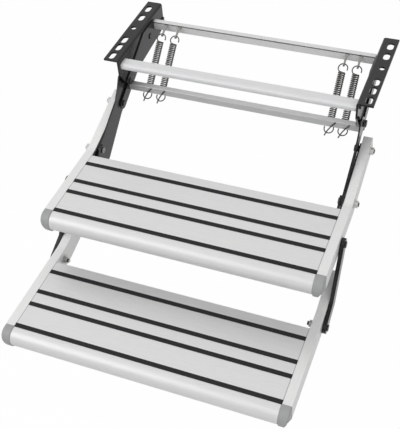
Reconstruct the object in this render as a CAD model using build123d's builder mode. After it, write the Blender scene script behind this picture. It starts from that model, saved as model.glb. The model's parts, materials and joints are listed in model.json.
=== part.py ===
"""Caravan entry step: two folding treads on parallel links under a pair of flanged brackets.

Millimetres. Z up, X across the step, -Y to the front. Z = 0 is the flanges' top, the face that
meets the vehicle; the origin lies midway between the two small round flange holes.
The step is drawn folded out, ready to stand on. Right-hand pieces (+X) have side = 1.
"""
import os
from math import atan, atan2, cos, degrees, hypot, radians, sin, tan

from build123d import *

os.makedirs("parts", exist_ok=True)
SIDES = {"left": -1, "right": 1}

# Driving sizes
CLEAR_WIDTH = 530.0
RAIL_WIDTH = 18.0
RAIL_HEIGHT = 40.0
RAIL_WALL = 2.4
TREAD_DEPTH = 196.0
DECK_THICKNESS = 18.0
STEP_RISE = 117.9
STEP_GOING = 201.7
TREAD_TOP_Z = -141.8
TREAD_REAR_Y = -266.0
BRACKET_FRONT_Y = -123.5
BRACKET_REAR_Y = 107.0
PLATE = 4.0

# Pivots of the upper stage (y, z): A is the rear link, B the front link
PIVOT_QA = (29.2, -35.8)
PIVOT_QB = (-88.0, -72.9)
UPPER_LINK = (-148.4, -76.9)
PIVOT_PA = (PIVOT_QA[0] + UPPER_LINK[0], PIVOT_QA[1] + UPPER_LINK[1])
PIVOT_PB = (PIVOT_QB[0] + UPPER_LINK[0], PIVOT_QB[1] + UPPER_LINK[1])

# Pivots of the lower stage: the rear link shares the upper stage's knee bolt
LOWER_LINK = (-108.1, -117.7)
LOWER_BASE = (96.2, 13.3)
PIVOT_RA = PIVOT_PB
PIVOT_RB = (PIVOT_RA[0] - LOWER_BASE[0], PIVOT_RA[1] - LOWER_BASE[1])
PIVOT_SA = (PIVOT_RA[0] + LOWER_LINK[0], PIVOT_RA[1] + LOWER_LINK[1])
PIVOT_SB = (PIVOT_RB[0] + LOWER_LINK[0], PIVOT_RB[1] + LOWER_LINK[1])

# Running clearances
LINK_GAP = 0.5
PIN_GAP = 0.05
SEAT_GAP = 0.1

# The plates stand side by side across the step, from the rail inwards
RAIL_IN_X = CLEAR_WIDTH / 2
RAIL_OUT_X = RAIL_IN_X + RAIL_WIDTH
ARM_PLATE_T = 3.3
FRONT_LINK_T = 3.0
REAR_LINK_T = 3.5
OUTER_LINK_T = 4.0
OUTER_LINK_GAP = 4.5
ARM_PLATE_X = RAIL_IN_X - ARM_PLATE_T
FRONT_LINK_X = ARM_PLATE_X - LINK_GAP - FRONT_LINK_T
REAR_LINK_X = FRONT_LINK_X - LINK_GAP - REAR_LINK_T
WEB_X = REAR_LINK_X - LINK_GAP - PLATE
OUTER_LINK_X = RAIL_OUT_X + OUTER_LINK_GAP

# Bolts
BOLT_R = 4.0
HEX_R = 7.5
NUT_H = 6.5
WASHER_R = 9.0
WASHER_T = 1.5
SLEEVE_R = 6.5
LOW_HEAD_R = 6.5
LOW_HEAD_H = 1.8
THIN_NUT_H = 3.0
THREAD_PROUD = 2.0
WIDE_WASHER_R = 11.0

# Link widths
REAR_LINK_R = 12.0
FRONT_LINK_R = 11.5
FRONT_LINK_FOOT_R = 10.0
OUTER_LINK_R = 12.0
OUTER_LINK_ELBOW = (115.0, 20.0)
LOWER_REAR_LINK_R = 11.5

# Cross members
REAR_BAR_SIZE = (11.0, 19.4)
REAR_BAR_YZ = (59.5, -23.3)
REAR_BAR_SLOT = (5.5, 2.8)
REAR_BAR_LIP = 1.4
REAR_BAR_SLOT_Z = REAR_BAR_YZ[1] + REAR_BAR_SIZE[1] / 2 - REAR_BAR_LIP - REAR_BAR_SLOT[1] / 2
FRONT_BAR_SIZE = (25.0, 15.0)
FRONT_BAR_YZ = (-105.5, -19.5)
SPRING_BAR_SIZE = (14.0, 15.6)
SPRING_BAR_YZ = (-76.9, -93.8)
REAR_BAR_EDGE_R = 1.0
FRONT_BAR_EDGE_R = 1.5
FRONT_BAR_FLAT = 1.0
SPRING_BAR_EDGE_R = 2.0
BAR_SCREW_R = 2.5
BAR_SCREW_HEAD_R = 5.0
BAR_SCREW_HEAD_H = 3.0
BAR_SCREW_LENGTH = 16.0

# Springs
SPRING_INSETS = (32.7, 61.7)
SPRING_XS = tuple(WEB_X - inset for inset in SPRING_INSETS)
SPRING_R = 7.3
WIRE_R = 1.25
SPRING_EYE = (28.4, -24.3)
HOOK_R = 9.6
COIL_END = 119.0
COIL_RIDGES = 11
HOOK_GAP = 0.2
HOOK_BEND_R = 2.0
HOOK_DROP = 18.4
HOOK_SHORT = 2.0
STRAP_T = 4.0
STRAP_R = 4.6
STRAP_HOLE_R = 2.2

# Tread strips and inner ribs, as shares of the tread's depth from its rear edge
STRIP_SHARES = (0.1301, 0.4046, 0.5684, 0.8495)
STRIP_SETBACKS = tuple(share * TREAD_DEPTH for share in STRIP_SHARES)
STRIP_WIDTH = 9.0
STRIP_HEIGHT = 2.0
STRIP_SUNK = 1.2
STRIP_RIBS = 3
DECK_WALL = 2.2
DECK_RIB_SHARES = (0.265, 0.485, 0.709)
DECK_RIBS = tuple(share * TREAD_DEPTH for share in DECK_RIB_SHARES)

# Rails and caps
CAP_LENGTH = 26.0
RAIL_FRONT_Y = TREAD_REAR_Y - TREAD_DEPTH + CAP_LENGTH
UPPER_KNEE_Y = -246.5
LOWER_KNEE_Y = -424.0
LOWER_ARM_SLOPE = 15.0
ARM_OVERRUNS = {"upper": 24.0, "lower": 15.0}
KNEE_TOP_R = 60.0
KNEE_BOTTOM_R = 100.0
CAP_PROUD = 0.5
CAP_EDGE_R = 1.5
CAP_PLUG = 12.0
CAP_SHOULDER = 2.0
CAP_BITE = 0.6
SHOULDER_ROUND = (8.0, 20.0)
CAP_ROUND = (14.0, 35.0)
RAIL_EDGE_R = 5.0

# Flange holes: slots at these y, one small round hole at y = 0 on the same line
HOLE_LINE_INSET = 12.7
HOLE_LINE_X = RAIL_OUT_X - HOLE_LINE_INSET
SLOT_YS = (78.7, 42.4, -46.9, -75.5, -106.8)
SLOT_SIZE = (24.0, 13.0)
ROUND_HOLE_R = 6.0


def along(point, toward, distance):
    """The point that lies a distance from point on the way to toward."""
    span = hypot(toward[0] - point[0], toward[1] - point[1])
    share = distance / span
    return (point[0] + (toward[0] - point[0]) * share, point[1] + (toward[1] - point[1]) * share)


def side_plane(side, x):
    """The plane across the step at side * x, with local x along Y and local y along Z."""
    return Plane(origin=(side * x, 0, 0), x_dir=(0, 1, 0), z_dir=(1, 0, 0))


def save(built, name):
    built.part.label = name
    export_step(built.part, f"parts/{name}.step")


def link_sketch(ends, radii, holes):
    """A link's outline: two round ends, the straight edges between them, and its pin holes."""
    (y1, z1), (y2, z2) = ends
    big, small = radii
    span = hypot(y2 - y1, z2 - z1)
    run = atan2(z2 - z1, y2 - y1)
    lean = atan((big - small) / span)
    up = run + radians(90) - lean
    down = run - radians(90) + lean
    corners = [
        (y1 + big * cos(up), z1 + big * sin(up)),
        (y2 + small * cos(up), z2 + small * sin(up)),
        (y2 + small * cos(down), z2 + small * sin(down)),
        (y1 + big * cos(down), z1 + big * sin(down)),
    ]
    with BuildLine() as edges:
        Polyline(*corners, close=True)
    make_face(edges.edges())
    for (y, z), radius in zip(ends, radii):
        with Locations((y, z)):
            Circle(radius)
    for y, z in holes:
        with Locations((y, z)):
            Circle(BOLT_R + PIN_GAP, mode=Mode.SUBTRACT)


def make_link(name, side, x, thickness, ends, radii):
    with BuildPart() as link:
        with BuildSketch(side_plane(side, x)):
            link_sketch(ends, radii, ends)
        extrude(amount=side * thickness)
    save(link, name)


def make_low_bolts(name, pivot, x_head, x_end):
    """A pair of bolts with low round heads at x_head; the shank runs to x_end."""
    way = 1 if x_head > x_end else -1
    with BuildPart() as bolts:
        for side in SIDES.values():
            with BuildSketch(side_plane(side, x_head)):
                with Locations(pivot):
                    Circle(LOW_HEAD_R)
            extrude(amount=side * way * LOW_HEAD_H)
            with BuildSketch(side_plane(side, x_head)):
                with Locations(pivot):
                    Circle(BOLT_R)
            extrude(amount=side * (x_end - x_head))
    save(bolts, name)


def make_nuts(name, pivot, x, inward, washer_r, height=NUT_H):
    """A pair of nuts with washers; the washers' seat is at x and the nuts stack up from it."""
    way = -1 if inward else 1
    bore = BOLT_R + PIN_GAP
    with BuildPart() as nuts:
        for side in SIDES.values():
            with BuildSketch(side_plane(side, x)):
                with Locations(pivot):
                    Circle(washer_r)
                    Circle(bore, mode=Mode.SUBTRACT)
            extrude(amount=side * way * WASHER_T)
            with BuildSketch(side_plane(side, x + way * WASHER_T)):
                with Locations(pivot):
                    RegularPolygon(HEX_R, 6)
                    Circle(bore, mode=Mode.SUBTRACT)
            extrude(amount=side * way * height)
    save(nuts, name)


def make_sleeves(name, pivot, x0, x1):
    with BuildPart() as sleeves:
        for side in SIDES.values():
            with BuildSketch(side_plane(side, x0)):
                with Locations(pivot):
                    Circle(SLEEVE_R)
                    Circle(BOLT_R + PIN_GAP, mode=Mode.SUBTRACT)
            extrude(amount=side * (x1 - x0))
    save(sleeves, name)


# Brackets: a flange with slots, and a web that drops to the two pivots
WEB_FRONT_H = 36.0
WEB_REAR_H = 42.0
WEB_LOBE_R = 11.5
WEB_MID = (-21.2, -68.4)
WEB_TAIL = (84.8, -57.5)
BEND_R = 5.0
WEB_CORNER_R = 6.0
web_outline = [
    (BRACKET_FRONT_Y, 0),
    (BRACKET_FRONT_Y, -WEB_FRONT_H),
    (PIVOT_QB[0] - WEB_LOBE_R, PIVOT_QB[1]),
    (PIVOT_QB[0], PIVOT_QB[1] - WEB_LOBE_R),
    WEB_MID,
    WEB_TAIL,
    (BRACKET_REAR_Y, -WEB_REAR_H),
    (BRACKET_REAR_Y, 0),
]
PAD_T = 2.5
PAD_TOP = (-1.8, -8.9)
PAD_SLOPE = 28.7
PAD_BAR_GAP = 1.5
pad_lean = radians(PAD_SLOPE)
pad_reach = BRACKET_REAR_Y - BRACKET_FRONT_Y
pad_low_z = PAD_TOP[1] - pad_reach
bar_corner = (
    REAR_BAR_YZ[0] - REAR_BAR_SIZE[0] / 2 - PAD_BAR_GAP,
    REAR_BAR_YZ[1] - REAR_BAR_SIZE[1] / 2 - PAD_BAR_GAP,
)
pad_window = [
    PAD_TOP,
    (PAD_TOP[0] - pad_reach * cos(pad_lean), PAD_TOP[1] - pad_reach * sin(pad_lean)),
    (PAD_TOP[0] - pad_reach * cos(pad_lean), pad_low_z),
    (BRACKET_REAR_Y, pad_low_z),
    (BRACKET_REAR_Y, bar_corner[1]),
    bar_corner,
    (bar_corner[0], PAD_TOP[1]),
]
BAR_SCREWS_YZ = (REAR_BAR_YZ, FRONT_BAR_YZ)
for word, side in SIDES.items():
    with BuildPart() as bracket:
        with BuildSketch(side_plane(side, WEB_X)) as web:
            with BuildLine():
                Polyline(*web_outline, close=True)
            make_face()
            fillet(web.vertices().sort_by(Axis.Y)[:6], WEB_CORNER_R)
            for pivot in (PIVOT_QA, PIVOT_QB):
                with Locations(pivot):
                    Circle(BOLT_R + PIN_GAP, mode=Mode.SUBTRACT)
            for y, z in BAR_SCREWS_YZ:
                with Locations((y, z)):
                    Circle(BAR_SCREW_R + SEAT_GAP, mode=Mode.SUBTRACT)
        extrude(amount=side * PLATE)
        with BuildSketch(side_plane(side, WEB_X)) as pad:
            with BuildLine():
                Polyline(*web_outline, close=True)
            make_face()
            fillet(pad.vertices().sort_by(Axis.Y)[:6], WEB_CORNER_R)
            with BuildLine():
                Polyline(*pad_window, close=True)
            make_face(mode=Mode.INTERSECT)
            for pivot in (PIVOT_QA, PIVOT_QB):
                with Locations(pivot):
                    Circle(BOLT_R + PIN_GAP, mode=Mode.SUBTRACT)
        extrude(amount=-side * PAD_T)
        with BuildSketch(Plane.XY):
            with Locations((side * (WEB_X + RAIL_OUT_X) / 2, (BRACKET_FRONT_Y + BRACKET_REAR_Y) / 2)):
                Rectangle(RAIL_OUT_X - WEB_X, BRACKET_REAR_Y - BRACKET_FRONT_Y)
            for y in SLOT_YS:
                with Locations((side * HOLE_LINE_X, y)):
                    SlotOverall(SLOT_SIZE[0], SLOT_SIZE[1], rotation=90, mode=Mode.SUBTRACT)
            with Locations((side * HOLE_LINE_X, 0)):
                Circle(ROUND_HOLE_R, mode=Mode.SUBTRACT)
        extrude(amount=-PLATE)
        corner = bracket.edges().filter_by(Axis.Y).group_by(Axis.Z)[-1]
        fillet(corner.sort_by(Axis.X)[0 if side > 0 else -1], BEND_R)
    save(bracket, f"bracket_{word}")

# Cross members between the webs, hollow, held by one screw at each end
BAR_LENGTH = 2 * WEB_X
with BuildPart() as rear_crossbar:
    with BuildSketch(side_plane(-1, WEB_X)) as section:
        with Locations(REAR_BAR_YZ):
            Rectangle(*REAR_BAR_SIZE)
        fillet(section.vertices(), REAR_BAR_EDGE_R)
        with Locations((REAR_BAR_YZ[0] - REAR_BAR_SIZE[0] / 2, REAR_BAR_SLOT_Z)):
            Rectangle(REAR_BAR_SLOT[0], REAR_BAR_SLOT[1], align=(Align.MIN, Align.CENTER), mode=Mode.SUBTRACT)
    extrude(amount=BAR_LENGTH)
    with BuildSketch(side_plane(-1, WEB_X)):
        with Locations(REAR_BAR_YZ):
            Circle(BAR_SCREW_R + PIN_GAP)
    extrude(amount=BAR_LENGTH, mode=Mode.SUBTRACT)
save(rear_crossbar, "rear_crossbar")

with BuildPart() as front_crossbar:
    with BuildSketch(side_plane(-1, WEB_X)) as section:
        with Locations(FRONT_BAR_YZ):
            Rectangle(*FRONT_BAR_SIZE)
        fillet(section.vertices().sort_by(Axis.X)[:2], (FRONT_BAR_SIZE[1] - FRONT_BAR_FLAT) / 2)
        fillet(section.vertices().sort_by(Axis.X)[-2:], FRONT_BAR_EDGE_R)
        with Locations(FRONT_BAR_YZ):
            Circle(BAR_SCREW_R + PIN_GAP, mode=Mode.SUBTRACT)
    extrude(amount=BAR_LENGTH)
save(front_crossbar, "front_crossbar")


def make_bar_screws(name, spots, x_seat):
    """Screws with round heads outside x_seat, driven inwards into the end of a bar."""
    with BuildPart() as screws:
        for side in SIDES.values():
            for spot in spots:
                with BuildSketch(side_plane(side, x_seat)):
                    with Locations(spot):
                        Circle(BAR_SCREW_HEAD_R)
                extrude(amount=side * BAR_SCREW_HEAD_H)
                with BuildSketch(side_plane(side, x_seat)):
                    with Locations(spot):
                        Circle(BAR_SCREW_R)
                extrude(amount=-side * BAR_SCREW_LENGTH)
    save(screws, name)


make_bar_screws("crossbar_screws", BAR_SCREWS_YZ, WEB_X + PLATE)

# Straps: a tongue in the rear bar's slot, reaching forward to the eye that holds a spring
STRAP_ROOT = (REAR_BAR_YZ[0] - REAR_BAR_SIZE[0] / 2, REAR_BAR_SLOT_Z)
STRAP_TONGUE = REAR_BAR_SLOT[0] - SEAT_GAP
STRAP_BACK_R = REAR_BAR_SLOT[1] / 2 - SEAT_GAP
with BuildPart() as spring_straps:
    for x in [side * x for side in SIDES.values() for x in SPRING_XS]:
        with BuildSketch(Plane(origin=(x - STRAP_T / 2, 0, 0), x_dir=(0, 1, 0), z_dir=(1, 0, 0))):
            with Locations(STRAP_ROOT):
                Rectangle(2 * STRAP_TONGUE, 2 * STRAP_BACK_R)
            reach = along(STRAP_ROOT, SPRING_EYE, 2 * STRAP_BACK_R)
            rise = atan2(SPRING_EYE[1] - reach[1], SPRING_EYE[0] - reach[0])
            off = (-STRAP_R * sin(rise), STRAP_R * cos(rise))
            with BuildLine():
                Polyline(
                    (reach[0] + off[0] / 2, reach[1] + off[1] / 2),
                    (SPRING_EYE[0] + off[0], SPRING_EYE[1] + off[1]),
                    (SPRING_EYE[0] - off[0], SPRING_EYE[1] - off[1]),
                    (reach[0] - off[0] / 2, reach[1] - off[1] / 2),
                    close=True,
                )
            make_face()
            with Locations(SPRING_EYE):
                Circle(STRAP_R)
                Circle(STRAP_HOLE_R, mode=Mode.SUBTRACT)
        extrude(amount=STRAP_T)
save(spring_straps, "spring_straps")

# Links of the upper stage, the bar across the rear pair, and their pivot bolts.
# The front link's upper end is broad: (distance along the link, height over its middle line)
FRONT_LINK_FIN = ((-9.0, 7.0), (1.0, 35.0), (13.0, 35.0), (32.0, 22.5), (58.0, 11.0), (58.0, 0.0), (0.0, 0.0))
FIN_CORNER_R = 5.0
link_run = hypot(*UPPER_LINK)
link_way = (UPPER_LINK[0] / link_run, UPPER_LINK[1] / link_run)
front_link_fin = [
    (PIVOT_QB[0] + t * link_way[0] + h * link_way[1], PIVOT_QB[1] + t * link_way[1] - h * link_way[0])
    for t, h in FRONT_LINK_FIN
]
for word, side in SIDES.items():
    with BuildPart() as rear_link:
        with BuildSketch(side_plane(side, REAR_LINK_X)):
            link_sketch((PIVOT_QA, PIVOT_PA), (REAR_LINK_R, REAR_LINK_R), (PIVOT_QA, PIVOT_PA))
            with Locations(SPRING_BAR_YZ):
                Circle(BAR_SCREW_R + SEAT_GAP, mode=Mode.SUBTRACT)
        extrude(amount=side * REAR_LINK_T)
    save(rear_link, f"upper_rear_link_{word}")
    with BuildPart() as front_link:
        with BuildSketch(side_plane(side, FRONT_LINK_X)) as fin:
            with BuildLine():
                Polyline(*front_link_fin, close=True)
            make_face()
            for corner in front_link_fin[1:4]:
                fillet(fin.vertices().sort_by_distance((*corner, 0))[0], FIN_CORNER_R)
            link_sketch((PIVOT_QB, PIVOT_PB), (FRONT_LINK_R, FRONT_LINK_FOOT_R), (PIVOT_QB, PIVOT_PB))
        extrude(amount=side * FRONT_LINK_T)
    save(front_link, f"upper_front_link_{word}")

with BuildPart() as spring_bar:
    with BuildSketch(side_plane(-1, REAR_LINK_X)) as section:
        with Locations(SPRING_BAR_YZ):
            Rectangle(*SPRING_BAR_SIZE)
        fillet(section.vertices(), SPRING_BAR_EDGE_R)
        with Locations(SPRING_BAR_YZ):
            Circle(BAR_SCREW_R + PIN_GAP, mode=Mode.SUBTRACT)
    extrude(amount=2 * REAR_LINK_X)
save(spring_bar, "spring_bar")
make_bar_screws("spring_bar_screws", (SPRING_BAR_YZ,), REAR_LINK_X + REAR_LINK_T)

QA_END_X = REAR_LINK_X + REAR_LINK_T + LINK_GAP
QB_END_X = FRONT_LINK_X + FRONT_LINK_T + LINK_GAP
PIN_PROUD = WASHER_T + NUT_H + THREAD_PROUD
THIN_PROUD = WASHER_T + THIN_NUT_H
make_low_bolts("rear_pivot_bolts", PIVOT_QA, WEB_X - PAD_T, QA_END_X + THIN_PROUD)
make_nuts("rear_pivot_nuts", PIVOT_QA, QA_END_X, False, HEX_R, THIN_NUT_H)
make_low_bolts("front_pivot_bolts", PIVOT_QB, WEB_X - PAD_T, QB_END_X + THIN_PROUD)
make_nuts("front_pivot_nuts", PIVOT_QB, QB_END_X, False, HEX_R, THIN_NUT_H)
make_sleeves("front_pivot_sleeves", PIVOT_QB, WEB_X + PLATE, FRONT_LINK_X - SEAT_GAP)

# Springs: the coil as a ridged tube, a closed eye at the strap, and a hook under the spring bar
bar_front_top = (SPRING_BAR_YZ[0] - SPRING_BAR_SIZE[0] / 2, SPRING_BAR_YZ[1] + SPRING_BAR_SIZE[1] / 2)
bar_bottom_z = SPRING_BAR_YZ[1] - SPRING_BAR_SIZE[1] / 2
wire_off = WIRE_R + HOOK_GAP
hook_turn = (bar_front_top[0] - wire_off, bar_bottom_z - HOOK_DROP)
spring_run = hypot(hook_turn[0] - SPRING_EYE[0], hook_turn[1] - SPRING_EYE[1])
spring_dir = ((hook_turn[0] - SPRING_EYE[0]) / spring_run, (hook_turn[1] - SPRING_EYE[1]) / spring_run)
coil_start = 2 * HOOK_R - WIRE_R
coil_pitch = (COIL_END - coil_start) / COIL_RIDGES
coil_profile = [(SPRING_R - 2 * WIRE_R, coil_start), (SPRING_R - WIRE_R, coil_start)]
for ridge in range(COIL_RIDGES):
    foot = coil_start + ridge * coil_pitch
    coil_profile.append((SPRING_R, foot + coil_pitch / 2))
    coil_profile.append((SPRING_R - WIRE_R, foot + coil_pitch))
coil_profile.append((0, COIL_END))
coil_profile.append((0, COIL_END - 2 * WIRE_R))
coil_profile.append((SPRING_R - 2 * WIRE_R, COIL_END - 2 * WIRE_R))
spring_number = 0
for x in [side * x for side in SIDES.values() for x in SPRING_XS]:
    spring_number += 1
    eye = Vector(x, *SPRING_EYE)
    run = Vector(0, *spring_dir)
    lie = Vector(0, -spring_dir[1], spring_dir[0])
    hook_centre = eye + run * HOOK_R
    with BuildPart() as spring:
        with BuildSketch(Plane(origin=eye, x_dir=(1, 0, 0), z_dir=lie)):
            with BuildLine():
                Polyline(*coil_profile, close=True)
            make_face()
        revolve(axis=Axis(eye, run))
        with BuildSketch(Plane(origin=hook_centre - run * HOOK_R, x_dir=lie, z_dir=(1, 0, 0))):
            Circle(WIRE_R)
        revolve(axis=Axis(hook_centre, lie))
        with BuildLine(side_plane(1, x)) as hook_path:
            FilletPolyline(
                along(SPRING_EYE, hook_turn, COIL_END - WIRE_R),
                hook_turn,
                (hook_turn[0], bar_front_top[1] - HOOK_SHORT),
                radius=HOOK_BEND_R,
            )
        with BuildSketch(Plane(origin=hook_path.wires()[0] @ 0, z_dir=hook_path.wires()[0] % 0)):
            Circle(WIRE_R)
        sweep(path=hook_path.wires()[0])
    save(spring, f"spring_{spring_number}")

# Treads, strips, rails and caps: the same for both steps, the lower one offset by rise and going
NOSE_R = RAIL_HEIGHT / 2
NOSE_BACK = 14.0
STAGES = {"upper": (0.0, 0.0), "lower": (-STEP_GOING, -STEP_RISE)}


def knee_points(knee_y, slope, top_z, front_y, end_top):
    """A rail's outline: straight from the front to the knee, then rising at the slope to its end."""
    lean = radians(slope)
    end_bottom = (end_top[0] + RAIL_HEIGHT * sin(lean), end_top[1] - RAIL_HEIGHT * cos(lean))
    knee_bottom = (knee_y + RAIL_HEIGHT * tan(lean / 2), top_z - RAIL_HEIGHT)
    return [(front_y, top_z), (knee_y, top_z), end_top, end_bottom, knee_bottom, (front_y, top_z - RAIL_HEIGHT)]


def knee_sketch(points, inset, slope, overrun):
    """The rail outline drawn in by inset at top and bottom, run out by overrun at both open ends."""
    lean = radians(slope)
    half = tan(lean / 2)
    front_top, knee_top, end_top, end_bottom, knee_bottom, front_bottom = points
    tip = (overrun * cos(lean), overrun * sin(lean))
    drop = (inset * sin(lean), -inset * cos(lean))
    with BuildLine() as edges:
        Polyline(
            (front_top[0] - overrun, front_top[1] - inset),
            (knee_top[0] + inset * half, knee_top[1] - inset),
            (end_top[0] + drop[0] + tip[0], end_top[1] + drop[1] + tip[1]),
            (end_bottom[0] - drop[0] + tip[0], end_bottom[1] - drop[1] + tip[1]),
            (knee_bottom[0] - inset * half, knee_bottom[1] + inset),
            (front_bottom[0] - overrun, front_bottom[1] + inset),
            close=True,
        )
    make_face(edges.edges())


def runs_below(edge, points):
    """Whether an edge of the rail's outer face lies on its underside."""
    front_top, knee_top, end_top, end_bottom, knee_bottom, front_bottom = points
    spot = edge @ 0.5
    slope = (end_bottom[1] - knee_bottom[1]) / (end_bottom[0] - knee_bottom[0])
    arm_z = knee_bottom[1] + slope * (spot.Y - knee_bottom[0])
    return spot.Z < max(front_bottom[1], arm_z) + RAIL_WALL


UPPER_ARM_SLOPE = degrees(atan2(PIVOT_PA[1] - PIVOT_PB[1], PIVOT_PA[0] - PIVOT_PB[0]))
ARM_SLOPES = {"upper": UPPER_ARM_SLOPE, "lower": LOWER_ARM_SLOPE}
KNEES = {"upper": UPPER_KNEE_Y, "lower": LOWER_KNEE_Y}
ARM_PINS = {"upper": PIVOT_PA, "lower": PIVOT_SA}
RAIL_THROUGH = {"upper": (PIVOT_PA, PIVOT_PB), "lower": (PIVOT_SA, PIVOT_SB)}
for stage, (dy, dz) in STAGES.items():
    top_z = TREAD_TOP_Z + dz
    rear_y = TREAD_REAR_Y + dy
    nose_y = rear_y - TREAD_DEPTH
    nose_c = (nose_y + NOSE_R, top_z - NOSE_R)
    deck_z = top_z - DECK_THICKNESS
    with BuildPart() as tread:
        with BuildSketch(side_plane(-1, RAIL_IN_X)) as section:
            with BuildLine():
                Polyline(
                    (nose_c[0], top_z), (rear_y, top_z), (rear_y, deck_z),
                    (nose_c[0] + 2 * NOSE_BACK, deck_z), (nose_c[0] + NOSE_BACK, top_z - RAIL_HEIGHT),
                    (nose_c[0], top_z - RAIL_HEIGHT),
                )
                ThreePointArc(
                    (nose_c[0], top_z - RAIL_HEIGHT), (nose_y, nose_c[1]), (nose_c[0], top_z)
                )
            make_face()
            for setback in STRIP_SETBACKS:
                with Locations((rear_y - setback, top_z)):
                    Rectangle(STRIP_WIDTH + 2 * SEAT_GAP, 2 * (STRIP_SUNK + SEAT_GAP), mode=Mode.SUBTRACT)
            walls = (0.0, *DECK_RIBS, TREAD_DEPTH - NOSE_R - 2 * NOSE_BACK)
            for back, front in zip(walls[:-1], walls[1:]):
                chamber = (front - back - DECK_WALL, DECK_THICKNESS - 2 * DECK_WALL - STRIP_SUNK)
                with Locations((rear_y - (back + front + DECK_WALL) / 2, deck_z + DECK_WALL)):
                    Rectangle(*chamber, align=(Align.CENTER, Align.MIN), mode=Mode.SUBTRACT)
            with BuildLine():
                inner = NOSE_R - DECK_WALL - STRIP_SUNK
                Polyline(
                    (nose_c[0], nose_c[1] + inner), (nose_c[0] + NOSE_BACK, nose_c[1] + inner),
                    (nose_c[0] + NOSE_BACK - DECK_WALL, nose_c[1] - inner), (nose_c[0], nose_c[1] - inner),
                )
                ThreePointArc(
                    (nose_c[0], nose_c[1] - inner), (nose_c[0] - inner, nose_c[1]), (nose_c[0], nose_c[1] + inner)
                )
            make_face(mode=Mode.SUBTRACT)
        extrude(amount=2 * RAIL_IN_X)
    save(tread, f"{stage}_tread")

    for number, setback in enumerate(STRIP_SETBACKS, start=1):
        strip_y = rear_y - setback
        rib = STRIP_WIDTH / (2 * STRIP_RIBS + 1)
        with BuildPart() as strip:
            with BuildSketch(side_plane(-1, RAIL_IN_X - SEAT_GAP)):
                with Locations((strip_y, top_z - STRIP_SUNK)):
                    Rectangle(STRIP_WIDTH, STRIP_HEIGHT, align=(Align.CENTER, Align.MIN))
                for groove in range(STRIP_RIBS):
                    groove_y = strip_y - STRIP_WIDTH / 2 + rib * (2 * groove + 1) + rib / 2
                    with Locations((groove_y, top_z - STRIP_SUNK + STRIP_HEIGHT)):
                        Rectangle(rib, STRIP_HEIGHT - STRIP_SUNK, mode=Mode.SUBTRACT)
            extrude(amount=2 * (RAIL_IN_X - SEAT_GAP))
        save(strip, f"{stage}_strip_{number}")

    slope = ARM_SLOPES[stage]
    lean = radians(slope)
    pin = ARM_PINS[stage]
    run_out = (pin[0] - KNEES[stage]) * cos(lean) + (pin[1] - top_z) * sin(lean) + ARM_OVERRUNS[stage]
    end_top = (KNEES[stage] + run_out * cos(lean), top_z + run_out * sin(lean))
    front_y = RAIL_FRONT_Y + dy
    outline = knee_points(KNEES[stage], slope, top_z, front_y, end_top)
    for word, side in SIDES.items():
        with BuildPart() as rail:
            with BuildSketch(side_plane(side, RAIL_IN_X)) as section:
                knee_sketch(outline, 0, slope, 0)
                fillet(section.vertices().sort_by_distance((*outline[1], 0))[0], KNEE_TOP_R)
                fillet(section.vertices().sort_by_distance((*outline[4], 0))[0], KNEE_BOTTOM_R)
                for pivot in RAIL_THROUGH[stage]:
                    with Locations(pivot):
                        Circle(BOLT_R + PIN_GAP, mode=Mode.SUBTRACT)
            extrude(amount=side * RAIL_WIDTH)
            outer_face = rail.faces().sort_by(Axis.X)[-1 if side > 0 else 0]
            under = [edge for edge in outer_face.outer_wire().edges() if runs_below(edge, outline)]
            fillet(under, RAIL_EDGE_R)
            with BuildSketch(side_plane(side, RAIL_IN_X + RAIL_WALL)):
                knee_sketch(outline, RAIL_WALL, slope, RAIL_WALL)
            extrude(amount=side * (RAIL_WIDTH - 2 * RAIL_WALL), mode=Mode.SUBTRACT)
            if stage == "upper":
                with BuildSketch(side_plane(side, RAIL_OUT_X)):
                    with Locations(PIVOT_RB):
                        Circle(BOLT_R + PIN_GAP)
                extrude(amount=-side * 2 * RAIL_WALL, mode=Mode.SUBTRACT)
        save(rail, f"{stage}_rail_{word}")

        with BuildPart() as cap:
            with BuildSketch(side_plane(side, RAIL_IN_X)):
                with BuildLine():
                    Polyline((nose_c[0], top_z), (front_y, top_z), (front_y, top_z - RAIL_HEIGHT),
                             (nose_c[0], top_z - RAIL_HEIGHT))
                    ThreePointArc(
                        (nose_c[0], top_z - RAIL_HEIGHT), (nose_y, nose_c[1]), (nose_c[0], top_z)
                    )
                make_face()
            extrude(amount=side * (RAIL_WIDTH + CAP_PROUD))
            rim = cap.faces().sort_by(Axis.X)[-1 if side > 0 else 0].edges()
            fillet(rim, CAP_EDGE_R)
            plug_x = RAIL_IN_X + RAIL_WALL + SEAT_GAP
            with BuildSketch(side_plane(side, plug_x)):
                with Locations((front_y, top_z - RAIL_HEIGHT / 2)):
                    Rectangle(CAP_PLUG, RAIL_HEIGHT - 2 * RAIL_WALL - 2 * SEAT_GAP, align=(Align.MIN, Align.CENTER))
            extrude(amount=side * (RAIL_WIDTH - 2 * RAIL_WALL - 2 * SEAT_GAP))
            cap_out_x = RAIL_OUT_X + CAP_PROUD
            bottom_z = top_z - RAIL_HEIGHT
            for start, reach in ((0.0, SHOULDER_ROUND), (CAP_SHOULDER, CAP_ROUND)):
                with BuildSketch(Plane(origin=(0, front_y - start, 0), x_dir=(1, 0, 0), z_dir=(0, -1, 0))):
                    with Locations((side * (cap_out_x - reach[0] / 2), bottom_z + reach[1] / 2)):
                        Rectangle(*reach)
                    with Locations((side * (cap_out_x - reach[0] + CAP_BITE), bottom_z + reach[1] - CAP_BITE)):
                        Ellipse(*reach, mode=Mode.SUBTRACT)
                extrude(amount=CAP_LENGTH, mode=Mode.SUBTRACT)
        save(cap, f"{stage}_cap_{word}")

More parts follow.
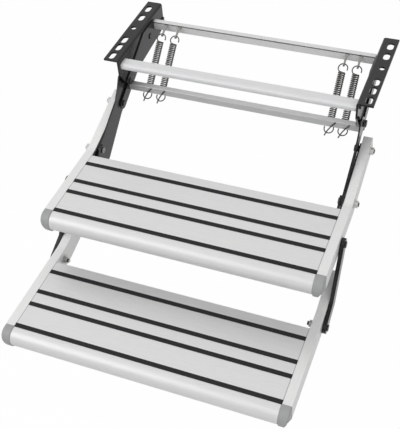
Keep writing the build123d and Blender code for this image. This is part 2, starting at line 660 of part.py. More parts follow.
# Arm plates: bolted flat against the upper rails' inner faces, behind the tread
PLATE_CORNER_R = 9.0
PLATE_HEAD = (12.0, 11.0)
PLATE_BACK = (15.0, 11.0)
LOBE_REAR = (32.0, 52.0)
LOBE_FRONT = (14.0, 50.0)
TOE = (26.0, 20.0)
TOE_RISE = 6.0
TOE_TOP = (8.0, 10.0)
arm_plate_outline = [
    (PIVOT_PA[0] + PLATE_HEAD[0], PIVOT_PA[1] + PLATE_HEAD[1]),
    (PIVOT_PA[0] + PLATE_BACK[0], PIVOT_PA[1] - PLATE_BACK[1]),
    (PIVOT_PB[0] + LOBE_REAR[0], PIVOT_PB[1] - LOBE_REAR[1]),
    (PIVOT_PB[0] + LOBE_FRONT[0], PIVOT_PB[1] - LOBE_FRONT[1]),
    (PIVOT_PB[0] - TOE[0], PIVOT_PB[1] - TOE[1]),
    (PIVOT_PB[0] - TOE[0], PIVOT_PB[1] + TOE_RISE),
    (PIVOT_PB[0] - TOE_TOP[0], PIVOT_PB[1] + TOE_TOP[1]),
]
for word, side in SIDES.items():
    with BuildPart() as arm_plate:
        with BuildSketch(side_plane(side, ARM_PLATE_X)) as section:
            with BuildLine():
                Polyline(*arm_plate_outline, close=True)
            make_face()
            fillet(section.vertices(), PLATE_CORNER_R)
            for pivot in (PIVOT_PA, PIVOT_PB):
                with Locations(pivot):
                    Circle(BOLT_R + PIN_GAP, mode=Mode.SUBTRACT)
        extrude(amount=side * ARM_PLATE_T)
    save(arm_plate, f"upper_arm_plate_{word}")

# Links of the lower stage; the outer link is bent, its elbow given along and beside the line of its pivots
outer_run = hypot(*LOWER_LINK)
outer_way = (LOWER_LINK[0] / outer_run, LOWER_LINK[1] / outer_run)
elbow = (
    PIVOT_RB[0] + OUTER_LINK_ELBOW[0] * outer_way[0] - OUTER_LINK_ELBOW[1] * outer_way[1],
    PIVOT_RB[1] + OUTER_LINK_ELBOW[0] * outer_way[1] + OUTER_LINK_ELBOW[1] * outer_way[0],
)
for word, side in SIDES.items():
    with BuildPart() as outer_link:
        with BuildSketch(side_plane(side, OUTER_LINK_X)):
            link_sketch((PIVOT_RB, elbow), (OUTER_LINK_R, OUTER_LINK_R), (PIVOT_RB,))
            link_sketch((elbow, PIVOT_SB), (OUTER_LINK_R, OUTER_LINK_R), (PIVOT_SB,))
        extrude(amount=side * OUTER_LINK_T)
    save(outer_link, f"lower_outer_link_{word}")
    make_link(f"lower_rear_link_{word}", side, REAR_LINK_X, REAR_LINK_T,
              (PIVOT_RA, PIVOT_SA), (LOWER_REAR_LINK_R, LOWER_REAR_LINK_R))

# Bolts through the rails: the upper ones have low heads inside and nuts on the rail's outer face
LINK_IN_X = REAR_LINK_X - LINK_GAP
SLEEVE_END_X = REAR_LINK_X + REAR_LINK_T + SEAT_GAP
for name, pivot in (("upper_arm", PIVOT_PA), ("upper_knee", PIVOT_PB)):
    make_low_bolts(f"{name}_bolts", pivot, LINK_IN_X, RAIL_OUT_X + PIN_PROUD)
    make_nuts(f"{name}_nuts", pivot, RAIL_OUT_X, False, WASHER_R)
make_low_bolts("lower_arm_bolts", PIVOT_SA, RAIL_OUT_X, LINK_IN_X - PIN_PROUD)
make_nuts("lower_arm_nuts", PIVOT_SA, LINK_IN_X, True, WASHER_R)
make_sleeves("upper_arm_sleeves", PIVOT_PA, ARM_PLATE_X, SLEEVE_END_X)
make_sleeves("lower_arm_sleeves", PIVOT_SA, RAIL_IN_X, SLEEVE_END_X)

# The outer links turn on sleeves that hold them clear of the rails
OUTER_HEAD_X = OUTER_LINK_X + OUTER_LINK_T + LINK_GAP
CAVITY_IN_X = RAIL_OUT_X - RAIL_WALL
make_low_bolts("outer_link_bolts", PIVOT_RB, OUTER_HEAD_X, CAVITY_IN_X - PIN_PROUD)
make_nuts("outer_link_nuts", PIVOT_RB, CAVITY_IN_X, True, HEX_R)
make_sleeves("outer_link_sleeves", PIVOT_RB, RAIL_OUT_X, OUTER_LINK_X - SEAT_GAP)
make_low_bolts("lower_knee_bolts", PIVOT_SB, OUTER_HEAD_X, RAIL_IN_X - PIN_PROUD - THREAD_PROUD)
make_nuts("lower_knee_nuts", PIVOT_SB, RAIL_IN_X, True, WIDE_WASHER_R)
make_sleeves("lower_knee_sleeves", PIVOT_SB, RAIL_OUT_X, OUTER_LINK_X - SEAT_GAP)
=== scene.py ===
import json
import math

import bpy
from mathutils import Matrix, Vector


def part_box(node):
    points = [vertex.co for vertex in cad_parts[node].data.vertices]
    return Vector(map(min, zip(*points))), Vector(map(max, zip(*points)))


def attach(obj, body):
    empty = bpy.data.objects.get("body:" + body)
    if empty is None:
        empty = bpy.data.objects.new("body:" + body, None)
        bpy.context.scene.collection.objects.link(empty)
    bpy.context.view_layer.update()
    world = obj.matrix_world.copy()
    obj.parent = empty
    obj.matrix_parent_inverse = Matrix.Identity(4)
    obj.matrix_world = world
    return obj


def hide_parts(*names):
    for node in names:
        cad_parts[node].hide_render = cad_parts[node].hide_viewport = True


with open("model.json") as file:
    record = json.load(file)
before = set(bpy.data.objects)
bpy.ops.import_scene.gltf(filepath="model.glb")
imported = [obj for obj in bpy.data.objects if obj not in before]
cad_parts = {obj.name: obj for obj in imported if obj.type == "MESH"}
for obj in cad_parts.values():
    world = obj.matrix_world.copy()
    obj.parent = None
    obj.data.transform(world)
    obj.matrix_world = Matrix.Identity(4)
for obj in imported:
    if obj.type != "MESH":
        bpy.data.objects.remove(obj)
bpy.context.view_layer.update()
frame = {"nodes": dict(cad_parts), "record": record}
NODES = frame["nodes"]
SIDES = {"left": -1, "right": 1}
ACROSS = Vector((1, 0, 0))
WHITE = (1.0, 1.0, 1.0, 1.0)


def mm(*values):
    """A vector in metres from lengths in millimetres."""
    return Vector([v / 1000 for v in values])


# Materials: one noise in the piece's own coordinates varies a finish's colour, gloss and surface
NOISE_DETAIL = 5.0
NOISE_ROUGHNESS = 0.6
NOISE_LOW, NOISE_HIGH = 0.3, 0.7
MIX_FIRST, MIX_SECOND, MIX_RESULT = 6, 7, 2
EDGE_RADIUS = 0.0007
EDGE_SAMPLES = 4
EDGE_FLAT, EDGE_SHARP = 0.985, 0.80
ROUGHNESS_PLAY = 0.05
BUMP_DEPTH = 0.0004
# Painted shade: a thin dark band at a tread's ends, where the gap against the rails lies
GAP_SHADE_WIDTH = 0.0016
GAP_SHADE_COLOUR = (0.33, 0.33, 0.33)
EVEN = (1.0, 1.0, 1.0)
ALONG_X = (0.6, 9.0, 9.0)
ALONG_Y = (9.0, 0.6, 9.0)


def new_material(name):
    mat = bpy.data.materials.new(name)
    mat.use_nodes = True
    tree = mat.node_tree
    return mat, tree, tree.nodes["Principled BSDF"]


def add(tree, kind, **inputs):
    """A new shader node with the named inputs set."""
    node = tree.nodes.new(kind)
    for key, value in inputs.items():
        node.inputs[key.replace("_", " ")].default_value = value
    return node


def wire(tree, source, socket, target, name):
    tree.links.new(source.outputs[socket], target.inputs[name])


def span(tree, source, socket, low, high, start, end):
    """The source's value, moved from low..high to start..end and held there."""
    node = add(tree, "ShaderNodeMapRange", From_Min=low, From_Max=high, To_Min=start, To_Max=end)
    wire(tree, source, socket, node, "Value")
    return node


def grain(tree, scale, stretch):
    """Noise in the object's own coordinates, stretched along its axes."""
    coords = add(tree, "ShaderNodeTexCoord")
    mapping = add(tree, "ShaderNodeMapping", Scale=stretch)
    noise = add(tree, "ShaderNodeTexNoise", Scale=scale, Detail=NOISE_DETAIL, Roughness=NOISE_ROUGHNESS)
    wire(tree, coords, "Object", mapping, "Vector")
    wire(tree, mapping, "Vector", noise, "Vector")
    return noise


def tint(tree, noise, low, high):
    """Colour from low to high with the noise."""
    ramp = add(tree, "ShaderNodeValToRGB")
    first, last = ramp.color_ramp.elements
    first.position, last.position = NOISE_LOW, NOISE_HIGH
    first.color, last.color = (*low, 1), (*high, 1)
    wire(tree, noise, "Fac", ramp, "Fac")
    return ramp.outputs["Color"]


def mixed(tree, mask, first, second):
    """Colour first where the mask is 0, second where it is 1."""
    node = add(tree, "ShaderNodeMix")
    node.data_type = "RGBA"
    wire(tree, mask, "Result", node, "Factor")
    tree.links.new(first, node.inputs[MIX_FIRST])
    node.inputs[MIX_SECOND].default_value = (*second, 1)
    return node.outputs[MIX_RESULT]


def edge_mask(tree):
    """The normal rounded off near edges, and how near an edge is, from 0 to 1."""
    soft = add(tree, "ShaderNodeBevel", Radius=EDGE_RADIUS)
    soft.samples = EDGE_SAMPLES
    plain = add(tree, "ShaderNodeNewGeometry")
    dot = add(tree, "ShaderNodeVectorMath")
    dot.operation = "DOT_PRODUCT"
    tree.links.new(soft.outputs["Normal"], dot.inputs[0])
    tree.links.new(plain.outputs["Normal"], dot.inputs[1])
    return soft, span(tree, dot, "Value", EDGE_FLAT, EDGE_SHARP, 0.0, 1.0)


def gap_shade_mask(tree, end_x):
    """1 in a thin band at a piece's two ends, which lie at |x| = end_x, and 0 between them: where painted
    shade of the gap at the rails goes.
    """
    coords = add(tree, "ShaderNodeTexCoord")
    axes = add(tree, "ShaderNodeSeparateXYZ")
    wire(tree, coords, "Object", axes, "Vector")
    away = add(tree, "ShaderNodeMath")
    away.operation = "ABSOLUTE"
    wire(tree, axes, "X", away, "Value")
    return span(tree, away, "Value", end_x - GAP_SHADE_WIDTH, end_x - GAP_SHADE_WIDTH / 2, 0.0, 1.0)


def finish(name, low, high, roughness, metallic, scale,
           stretch=EVEN, lift=0.05, edge_wear_and_highlight=None, gap_shade_x=None, shine=0.5):
    """A grain between two colours with soft edges, and maybe a lighter edge colour, partly wear and
    partly painted highlight, or painted shade in the gaps at the ends.
    """
    mat, tree, shader = new_material(name)
    noise = grain(tree, scale, stretch)
    colour = tint(tree, noise, low, high)
    soft, near_edge = edge_mask(tree)
    # Edges painted lighter: partly wear, partly painted highlight
    if edge_wear_and_highlight:
        colour = mixed(tree, near_edge, colour, edge_wear_and_highlight)
    # Painted shade in the gaps at the piece's ends
    if gap_shade_x:
        colour = mixed(tree, gap_shade_mask(tree, gap_shade_x), colour, GAP_SHADE_COLOUR)
    tree.links.new(colour, shader.inputs["Base Color"])
    smoother, rougher = roughness - ROUGHNESS_PLAY, roughness + ROUGHNESS_PLAY
    gloss = span(tree, noise, "Fac", NOISE_LOW, NOISE_HIGH, smoother, rougher)
    wire(tree, gloss, "Result", shader, "Roughness")
    shader.inputs["Metallic"].default_value = metallic
    shader.inputs["Specular IOR Level"].default_value = shine
    bump = add(tree, "ShaderNodeBump", Strength=lift, Distance=BUMP_DEPTH)
    wire(tree, noise, "Fac", bump, "Height")
    wire(tree, soft, "Normal", bump, "Normal")
    wire(tree, bump, "Normal", shader, "Normal")
    return mat


TREAD_END_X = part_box("upper_tread")[1][0]
# The treads get painted shade in the gaps at their ends, beside the rails
ANODISED = finish("anodised", (0.66, 0.665, 0.67), (0.73, 0.725, 0.715),
                  roughness=0.48, metallic=0.30, scale=60.0, stretch=ALONG_X, gap_shade_x=TREAD_END_X)
BAR = finish("bar", (0.69, 0.695, 0.705), (0.77, 0.77, 0.77),
             roughness=0.60, metallic=0.30, scale=60.0, stretch=ALONG_X)
DULL_BAR = finish("dull_bar", (0.46, 0.46, 0.465), (0.58, 0.58, 0.58),
                  roughness=0.46, metallic=0.40, scale=90.0, stretch=ALONG_X)
# Painted shade for the inside of the rear bar's slot
SHADE = finish("slot_shade", (0.40, 0.40, 0.40), (0.50, 0.50, 0.50),
               roughness=0.70, metallic=0.3, scale=90.0, stretch=ALONG_X)
RAIL = finish("rail", (0.75, 0.75, 0.745), (0.81, 0.81, 0.80),
              roughness=0.46, metallic=0.25, scale=60.0, stretch=ALONG_Y)
# The lighter edge colours below are partly wear and partly painted highlight
CAP = finish("cap", (0.36, 0.365, 0.365), (0.39, 0.395, 0.395),
             roughness=0.52, metallic=0.0, scale=700.0, lift=0.10, edge_wear_and_highlight=(0.47, 0.47, 0.47))
STRIP = finish("strip", (0.010, 0.010, 0.011), (0.026, 0.026, 0.027),
               roughness=0.80, metallic=0.0, scale=1500.0, lift=0.5, shine=0.35)
POWDER = finish("powder_coat", (0.006, 0.006, 0.0065), (0.014, 0.014, 0.014),
                roughness=0.24, metallic=0.0, scale=900.0, lift=0.15, edge_wear_and_highlight=(0.050, 0.050, 0.050),
                shine=0.28)
ZINC = finish("zinc", (0.42, 0.42, 0.41), (0.58, 0.58, 0.57),
              roughness=0.36, metallic=0.70, scale=220.0, edge_wear_and_highlight=(0.75, 0.75, 0.74))
DARK = finish("dark_steel", (0.030, 0.030, 0.031), (0.060, 0.060, 0.062),
              roughness=0.42, metallic=0.5, scale=400.0, lift=0.1, edge_wear_and_highlight=(0.13, 0.13, 0.13))
BARE = finish("bare_steel", (0.06, 0.06, 0.06), (0.34, 0.34, 0.335),
              roughness=0.34, metallic=0.5, scale=700.0, lift=0.4)
STRAP = finish("strap", (0.20, 0.195, 0.185), (0.30, 0.295, 0.28),
               roughness=0.42, metallic=0.55, scale=260.0)
SPRING = finish("spring_steel", (0.055, 0.052, 0.049), (0.13, 0.12, 0.112),
                roughness=0.34, metallic=0.55, scale=300.0)
SLOT_FINISH = {"powder_coat": POWDER, "anodised": ANODISED, "rail": RAIL, "strip": STRIP, "cap": CAP,
               "zinc": ZINC, "spring_steel": SPRING, "dark_steel": DARK}
OWN_FINISH = {"rear_crossbar": BAR, "front_crossbar": BAR, "spring_bar": DULL_BAR}
for entry in frame["record"]["subparts"]:
    mesh = NODES[entry["node"]].data
    mesh.materials.clear()
    mesh.materials.append(OWN_FINISH.get(entry["node"], SLOT_FINISH[entry["material_slot"]]))


# Bolts show bare metal at their ends beside the rails, and the rear bar's slot gets painted shade, darker
# than its faces
RAIL_IN_X, RAIL_OUT_X = [corner[0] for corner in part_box("upper_rail_right")]
BAR_LOW, BAR_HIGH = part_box("rear_crossbar")
BAR_SKIN = 0.0003
BAR_LIP = 0.0010
SLOT_REACH = 0.0060


def repaint(node, mat, wanted):
    """Give the node's faces whose middle passes the test a material of their own."""
    obj = NODES[node]
    obj.data.materials.append(mat)
    place = obj.matrix_world
    for poly in obj.data.polygons:
        if wanted(place @ poly.center):
            poly.material_index = len(obj.data.materials) - 1


def outside_rails(spot):
    return abs(spot.x) > RAIL_OUT_X


def inside_rails(spot):
    return abs(spot.x) < RAIL_IN_X


def in_slot(spot):
    near_front = BAR_LOW[1] + BAR_SKIN < spot.y < BAR_LOW[1] + SLOT_REACH
    return near_front and BAR_HIGH[2] - SLOT_REACH < spot.z < BAR_HIGH[2] - BAR_LIP


repaint("upper_arm_bolts", ZINC, outside_rails)
repaint("upper_knee_bolts", ZINC, outside_rails)
repaint("upper_knee_bolts", BARE, inside_rails)
repaint("lower_knee_bolts", ZINC, inside_rails)
repaint("lower_arm_bolts", ZINC, inside_rails)
# The slot's faces get the painted shade
repaint("rear_crossbar", SHADE, in_slot)


# Mesh helpers: a mesh is a pair of verts and faces until it becomes a piece

def new_mesh(name, verts, faces, mat, smooth=True):
    mesh = bpy.data.meshes.new(name)
    mesh.from_pydata([tuple(v) for v in verts], [], faces)
    mesh.validate()
    mesh.update()
    for poly in mesh.polygons:
        poly.use_smooth = smooth
    mesh.materials.append(mat)
    obj = bpy.data.objects.new(name, mesh)
    bpy.context.collection.objects.link(obj)
    return obj


def skin(rings):
    """A closed skin over rings of equal length, with flat ends."""
    count = len(rings[0])
    verts = [point for ring in rings for point in ring]
    faces = []
    for i in range(len(rings) - 1):
        for k in range(count):
            a = i * count + k
            b = i * count + (k + 1) % count
            faces.append((a, b, b + count, a + count))
    faces.append(tuple(range(count))[::-1])
    last = (len(rings) - 1) * count
    faces.append(tuple(range(last, last + count)))
    return verts, faces


def band(loops):
    """A closed band through loops of equal length, the last joined to the first."""
    count, total = len(loops[0]), len(loops)
    verts = [point for loop in loops for point in loop]
    faces = []
    for i in range(total):
        here, ahead = i * count, (i + 1) % total * count
        for k in range(count):
            following = (k + 1) % count
            faces.append((here + k, here + following, ahead + following, ahead + k))
    return verts, faces


def joined(*meshes):
    """Several meshes as one."""
    verts, faces = [], []
    for more, sides in meshes:
        base = len(verts)
        verts += more
        faces += [tuple(i + base for i in side) for side in sides]
    return verts, faces


def heading(path, i):
    """The direction of a path at its point i."""
    return (path[min(i + 1, len(path) - 1)] - path[max(i - 1, 0)]).normalized()


def tube(path, radius, sides=8):
    """A round wire along a path, closed at both ends."""
    turns = [2 * math.pi * k / sides for k in range(sides)]
    rings = []
    normal = heading(path, 0).orthogonal()
    for i, point in enumerate(path):
        ahead = heading(path, i)
        normal = (normal - ahead * normal.dot(ahead)).normalized()
        side = ahead.cross(normal)
        rings.append([point + (normal * math.cos(t) + side * math.sin(t)) * radius for t in turns])
    return skin(rings)


def smooth_path(points, steps):
    """A smooth curve through the points, with this many steps from each to the next."""
    line = []
    for i in range(len(points) - 1):
        p0, p1 = points[max(i - 1, 0)], points[i]
        p2, p3 = points[i + 1], points[min(i + 2, len(points) - 1)]
        for k in range(steps):
            t = k / steps
            line.append(0.5 * (2 * p1 + (p2 - p0) * t + (2 * p0 - 5 * p1 + 4 * p2 - p3) * t * t
                               + (3 * p1 - p0 - 3 * p2 + p3) * t ** 3))
    line.append(points[-1])
    return line


# Springs: wound coils with an open ring at each end, along the line from the strap's loop to the hook
SPRING_XS = {1: -0.217, 2: -0.1855, 4: 0.188, 3: 0.217}
EYE = mm(0, 28.4, -24.3)
HOOK_TURN = mm(0, -85.35, -120.0)
SPRING_RUN = (HOOK_TURN - EYE).normalized()
SPRING_UP = ACROSS.cross(SPRING_RUN)
RING_WIRE_R = 0.00125
RING_R = 0.0096
RING_ANGLES = range(20, -221, -8)
LOW_RING_AT = 0.1365
COIL_WIRE_R = 0.0013
COIL_R = 0.0068
COIL_FROM, COIL_TO = 0.0185, 0.1222
COIL_TURNS = 26
COIL_STEPS = 18
COIL_START = math.radians(30)
# The coil's upper end lies off the spring's line, clear of the rear bar when the step is folded
COIL_LEAN = -0.002
# The necks between rings and coil: a ring's last angle, the turn across and along, and the coil's entry
NECK_ANGLE = -224
UPPER_NECK = (-0.0010, -0.0006)
LOWER_NECK = (0.0010, 0.0030)
ENTRY_ACROSS, ENTRY_UP = 0.8, 0.5
UPPER_NECK_STEPS, LOWER_NECK_STEPS = 4, 5


def spring_mesh(x):
    def at(across, along, up=0.0):
        return EYE + ACROSS * (x + across) + SPRING_RUN * along + SPRING_UP * up

    def ring_point(degrees, centre, turned):
        angle = math.radians(degrees)
        return at(turned * RING_R * math.cos(angle), centre + turned * RING_R * math.sin(angle))

    coil = []
    count = COIL_TURNS * COIL_STEPS
    for i in range(count + 1):
        share = i / count
        turn = COIL_START + 2 * math.pi * i / COIL_STEPS
        along = COIL_FROM + (COIL_TO - COIL_FROM) * share
        coil.append(at(COIL_R * math.cos(turn), along, COIL_LEAN * (1 - share) + COIL_R * math.sin(turn)))

    upper_neck = smooth_path([
        ring_point(NECK_ANGLE, RING_R, 1),
        at(UPPER_NECK[0], COIL_FROM + UPPER_NECK[1]),
        at(COIL_R * ENTRY_ACROSS, COIL_FROM, COIL_LEAN + COIL_R * ENTRY_UP),
    ], UPPER_NECK_STEPS)
    upper = [ring_point(a, RING_R, 1) for a in RING_ANGLES] + upper_neck[1:]

    low_ring = [ring_point(a, LOW_RING_AT, -1) for a in reversed(RING_ANGLES)]
    lower_neck = smooth_path([
        coil[-1],
        at(LOWER_NECK[0], COIL_TO + LOWER_NECK[1]),
        low_ring[0],
    ], LOWER_NECK_STEPS)
    lower = lower_neck[:-1] + low_ring
    return joined(tube(upper, RING_WIRE_R), tube(coil, COIL_WIRE_R), tube(lower, RING_WIRE_R))


# Hooks: a wire from where it enters the spring bar, down the bar's front face and through the ring (mm)
HOOK_PATH = [(15.0, -79.4, -89.0), (14.5, -84.8, -88.5), (13.0, -85.4, -90.5), (7.0, -85.4, -98.5),
             (1.5, -85.0, -107.0), (-2.5, -84.9, -115.0), (-6.5, -85.4, -124.0)]
HOOK_WIRE_R = 0.00144
HOOK_STEPS = 5


def hook_mesh(x):
    path = [mm(*spot) + ACROSS * x for spot in HOOK_PATH]
    return tube(smooth_path(path, HOOK_STEPS), HOOK_WIRE_R)


for number, x in SPRING_XS.items():
    spring = new_mesh(f"coil_{number}", *spring_mesh(x), SPRING)
    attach(spring, "springs")
    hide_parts(f"spring_{number}")
    hook = new_mesh(f"hook_{number}", *hook_mesh(x), SPRING)
    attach(hook, "rear_links")


# Straps: bent tabs that hang in the rear bar's slot and narrow to the loop that holds a spring's ring.
# Each point of a tab has its place (y, z) and its width, in mm.
TAB_POINTS = [(57.0, -17.6, 7.0), (53.0, -17.5, 7.0), (49.5, -18.2, 6.4), (43.0, -20.6, 4.8),
              (35.0, -23.8, 3.9), (29.5, -28.2, 3.6), (25.6, -28.2, 3.4), (24.8, -24.2, 3.2),
              (27.6, -21.8, 3.0)]
TAB_T = 0.0018
TAB_STEPS = 4


def tab_mesh(x):
    middle = smooth_path([mm(0, y, z) for y, z, width in TAB_POINTS], TAB_STEPS)
    widths = smooth_path([width / 1000 for y, z, width in TAB_POINTS], TAB_STEPS)
    rings = []
    for i, point in enumerate(middle):
        over = ACROSS.cross(heading(middle, i)) * TAB_T / 2
        half = ACROSS * widths[i] / 2
        spot = point + ACROSS * x
        rings.append([spot - half - over, spot + half - over, spot + half + over, spot - half + over])
    return skin(rings)


straps = new_mesh("straps", *joined(*[tab_mesh(x) for x in SPRING_XS.values()]), STRAP, smooth=False)
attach(straps, "frame")
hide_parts("spring_straps")


# Caps: moulded ends that hang a little below the tread's nose. Their rim is soft, and their outer side
# slants in towards the bottom.
CAP_LIP = 0.0009
CAP_RIM_R = 0.0030
CAP_SEAM_R = 0.0006
CAP_DROP = 0.0045
SLANT = 0.0095
SLANT_TOP = 0.005
SLANT_BOW = 1.5
SLANT_RUN = 0.012
RAIL_EDGE_R = 0.005
CAP_SLICES = 18
NOSE_STEPS = 28
SIDE_STEPS = 10


def nose_outline(low, high):
    """A cap's outline (y, z): forward along the top, round the nose, back below and up the joint."""
    radius = (high[2] - low[2]) / 2
    centre_y, centre_z = low[1] + radius, low[2] + radius
    rear = high[1]
    length = rear - centre_y
    shares = [k / SIDE_STEPS for k in range(1, SIDE_STEPS + 1)]
    top = [(rear - length * (1 - share), high[2]) for share in reversed(shares)]
    nose = []
    for k in range(NOSE_STEPS + 1):
        turn = math.pi / 2 + math.pi * k / NOSE_STEPS
        reach = radius if math.sin(turn) > 0 else radius + CAP_DROP
        nose.append((centre_y + radius * math.cos(turn), centre_z + reach * math.sin(turn)))
    bottom = []
    for share in shares:
        drop = CAP_DROP * math.cos(share * math.pi / 2)
        bottom.append((centre_y + length * share, low[2] - drop))
    joint = [(rear, low[2] + (high[2] - low[2]) * share) for share in shares[:-1]]
    return top + nose + bottom + joint


def held(share):
    return min(max(share, 0.0), 1.0)


def rounding(radius, depth):
    """How far a surface draws in at a depth from an edge with this radius."""
    if depth >= radius:
        return 0.0
    return radius - math.sqrt(radius ** 2 - (radius - depth) ** 2)


def cap_mesh(node, side):
    low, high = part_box(node)
    rail_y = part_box(node.replace("cap", "rail"))[0][1]
    high = (high[0], rail_y, high[2])
    inner, outer = (low[0], high[0]) if side > 0 else (high[0], low[0])
    width = abs(outer - inner)
    outline = nose_outline(low, high)
    middle_y, middle_z = (low[1] + high[1]) / 2, (low[2] + high[2]) / 2
    slant_z = high[2] - SLANT_TOP
    rings = []
    for k in range(CAP_SLICES + 1):
        share = (1 - math.cos(math.pi * k / CAP_SLICES)) / 2
        rim = rounding(CAP_RIM_R, width * (1 - share))
        inset = rim + rounding(CAP_SEAM_R, width * share) - CAP_LIP
        ring = []
        for y, z in outline:
            shrink = 1 - inset / math.hypot(y - middle_y, z - middle_z)
            y = middle_y + (y - middle_y) * shrink
            z = middle_z + (z - middle_z) * shrink
            below = held((slant_z - z) / (slant_z - low[2])) ** SLANT_BOW
            slant = SLANT * below * held((rail_y - y) / SLANT_RUN)
            drawn = max(slant, rounding(RAIL_EDGE_R, max(z - low[2], 0.0)))
            ring.append(Vector((inner + side * share * (width - drawn), min(y, rail_y), z)))
        rings.append(ring if side > 0 else ring[::-1])
    return skin(rings)


for stage in ("upper", "lower"):
    for word, side in SIDES.items():
        node = f"{stage}_cap_{word}"
        cap = new_mesh(f"{stage}_end_{word}", *cap_mesh(node, side), CAP)
        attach(cap, f"{stage}_step")
        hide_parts(node)


# Outer links: their edges are turned in towards the rail, which makes them look thick from the front
RIM_DEPTH = 0.0038
RIM_T = 0.0022
ELBOW_ALONG, ELBOW_OFF = 0.115, 0.020
END_STEPS = 12


def box_middle(node):
    """The middle (y, z) of a node's box."""
    low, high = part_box(node)
    return Vector(((low[1] + high[1]) / 2, (low[2] + high[2]) / 2))


def left_of(way):
    return Vector((-way.y, way.x))


def link_outline(start, elbow, end, radius):
    """A bent link's outline (y, z): two straight runs with round ends, and the elbow round outside."""
    def arc(centre, first, turn):
        base = math.atan2(first.y, first.x)
        angles = [base + turn * k / END_STEPS for k in range(END_STEPS + 1)]
        return [centre + Vector((math.cos(a), math.sin(a))) * radius for a in angles]

    one, two = (elbow - start).normalized(), (end - elbow).normalized()
    off_one, off_two = left_of(one), left_of(two)
    bend = math.atan2(one.x * two.y - one.y * two.x, one.dot(two))
    inside = (off_one + off_two).normalized() * radius / math.cos(bend / 2)
    outline = arc(start, off_one, math.pi)
    if bend > 0:
        return outline + arc(elbow, -off_one, bend) + arc(end, -off_two, math.pi) + [elbow + inside]
    return outline + [elbow - inside] + arc(end, -off_two, math.pi) + arc(elbow, off_two, -bend)


def link_rim_mesh(side):
    start, end = box_middle("outer_link_sleeves"), box_middle("lower_knee_sleeves")
    way = (end - start).normalized()
    elbow = start + way * ELBOW_ALONG + left_of(way) * ELBOW_OFF
    low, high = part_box("lower_outer_link_right")
    radius = high[2] - start.y
    loops = []
    for inset, depth in ((0.0, 0.0), (0.0, RIM_DEPTH), (RIM_T, RIM_DEPTH), (RIM_T, 0.0)):
        outline = link_outline(start, elbow, end, radius - inset)
        loops.append([Vector((side * (low[0] - depth), y, z)) for y, z in outline])
    return band(loops if side < 0 else loops[::-1])


for word, side in SIDES.items():
    rim = new_mesh(f"link_rim_{word}", *link_rim_mesh(side), POWDER, smooth=False)
    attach(rim, "lower_front_links")


# Stage: a pale floor and surroundings that the camera and the metal see as white, and soft light
FLOOR_Z = -0.75
FLOOR_HALF = 12.0
FLOOR_COLOUR = (0.62, 0.62, 0.62, 1.0)
FLOOR_ROUGHNESS = 0.9
FLOOR_WHITE = 0.985
ROOM_LEVEL = 0.42
LIGHT_AIM = Vector((0.0, -0.28, -0.15))


def seen_directly(tree):
    """1 for rays from the camera, or off or through a glossy surface; 0 for the rest."""
    ray = add(tree, "ShaderNodeLightPath")
    value = ray.outputs["Is Camera Ray"]
    for name in ("Is Glossy Ray", "Is Transmission Ray"):
        either = add(tree, "ShaderNodeMath")
        either.operation = "MAXIMUM"
        tree.links.new(value, either.inputs[0])
        tree.links.new(ray.outputs[name], either.inputs[1])
        value = either.outputs["Value"]
    return value


def floor_material():
    """A matt floor that is nearly white to what sees it directly, so that its shadow stays faint."""
    mat, tree, shader = new_material("floor")
    shader.inputs["Base Color"].default_value = FLOOR_COLOUR
    shader.inputs["Roughness"].default_value = FLOOR_ROUGHNESS
    white = add(tree, "ShaderNodeEmission", Color=WHITE, Strength=1.0)
    share = add(tree, "ShaderNodeMath")
    share.operation = "MULTIPLY"
    tree.links.new(seen_directly(tree), share.inputs[0])
    share.inputs[1].default_value = FLOOR_WHITE
    mix = add(tree, "ShaderNodeMixShader")
    wire(tree, share, "Value", mix, "Fac")
    tree.links.new(shader.outputs["BSDF"], mix.inputs[1])
    tree.links.new(white.outputs["Emission"], mix.inputs[2])
    wire(tree, mix, "Shader", tree.nodes["Material Output"], "Surface")
    return mat


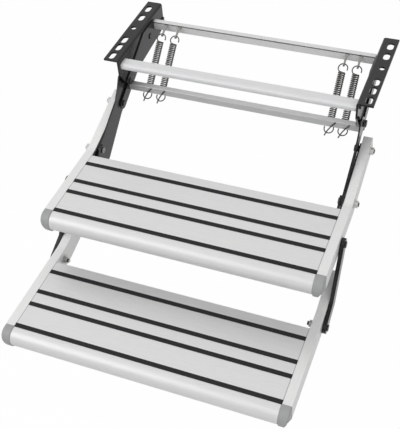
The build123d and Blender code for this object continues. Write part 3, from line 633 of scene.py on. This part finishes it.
def stage_floor():
    mesh = bpy.data.meshes.new("floor")
    corners = [(-1, -1), (1, -1), (1, 1), (-1, 1)]
    mesh.from_pydata([(x * FLOOR_HALF, y * FLOOR_HALF, 0) for x, y in corners], [], [(0, 1, 2, 3)])
    mesh.materials.append(floor_material())
    floor = bpy.data.objects.new("floor", mesh)
    floor.location = (0, 0, FLOOR_Z)
    bpy.context.collection.objects.link(floor)


def stage_light(name, place, size, power):
    """A soft rectangular light, turned towards the middle of the step."""
    light = bpy.data.lights.new(name, "AREA")
    light.shape = "RECTANGLE"
    light.size, light.size_y = size
    light.energy = power
    obj = bpy.data.objects.new(name, light)
    obj.location = place
    obj.rotation_euler = (LIGHT_AIM - Vector(place)).to_track_quat("-Z", "Y").to_euler()
    bpy.context.collection.objects.link(obj)


def stage_world():
    world = bpy.data.worlds.new("world")
    world.use_nodes = True
    tree = world.node_tree
    sky = tree.nodes["Background"]
    sky.inputs["Color"].default_value = WHITE
    level = add(tree, "ShaderNodeMapRange", To_Min=ROOM_LEVEL, To_Max=1.0)
    tree.links.new(seen_directly(tree), level.inputs["Value"])
    wire(tree, level, "Result", sky, "Strength")
    bpy.context.scene.world = world


stage_floor()
stage_light("key", place=(-1.5, -2.0, 1.9), size=(2.2, 2.2), power=34.0)
stage_light("fill", place=(1.6, -2.0, 1.0), size=(1.6, 1.6), power=12.0)
stage_light("top", place=(-0.8, 1.1, 2.4), size=(2.6, 1.8), power=11.0)
stage_world()


# Camera: its place (mm), its turn about x, y and z (degrees) and its lens (mm) are fitted to the photo
CAMERA_PLACE = (502.2, -1408.5, 1011.2)
CAMERA_TURN = (44.968, 3.721, 21.247)
FOCAL_LENGTH = 71.71
SENSOR_WIDTH = 36.0
VIEW_DEPTH = 50.0
lens = bpy.data.cameras.new("camera")
lens.sensor_width = SENSOR_WIDTH
lens.lens = FOCAL_LENGTH
lens.clip_end = VIEW_DEPTH
camera = bpy.data.objects.new("camera", lens)
camera.location = mm(*CAMERA_PLACE)
camera.rotation_euler = [math.radians(angle) for angle in CAMERA_TURN]
bpy.context.collection.objects.link(camera)
bpy.context.scene.camera = camera
bpy.context.scene.view_settings.view_transform = "Standard"
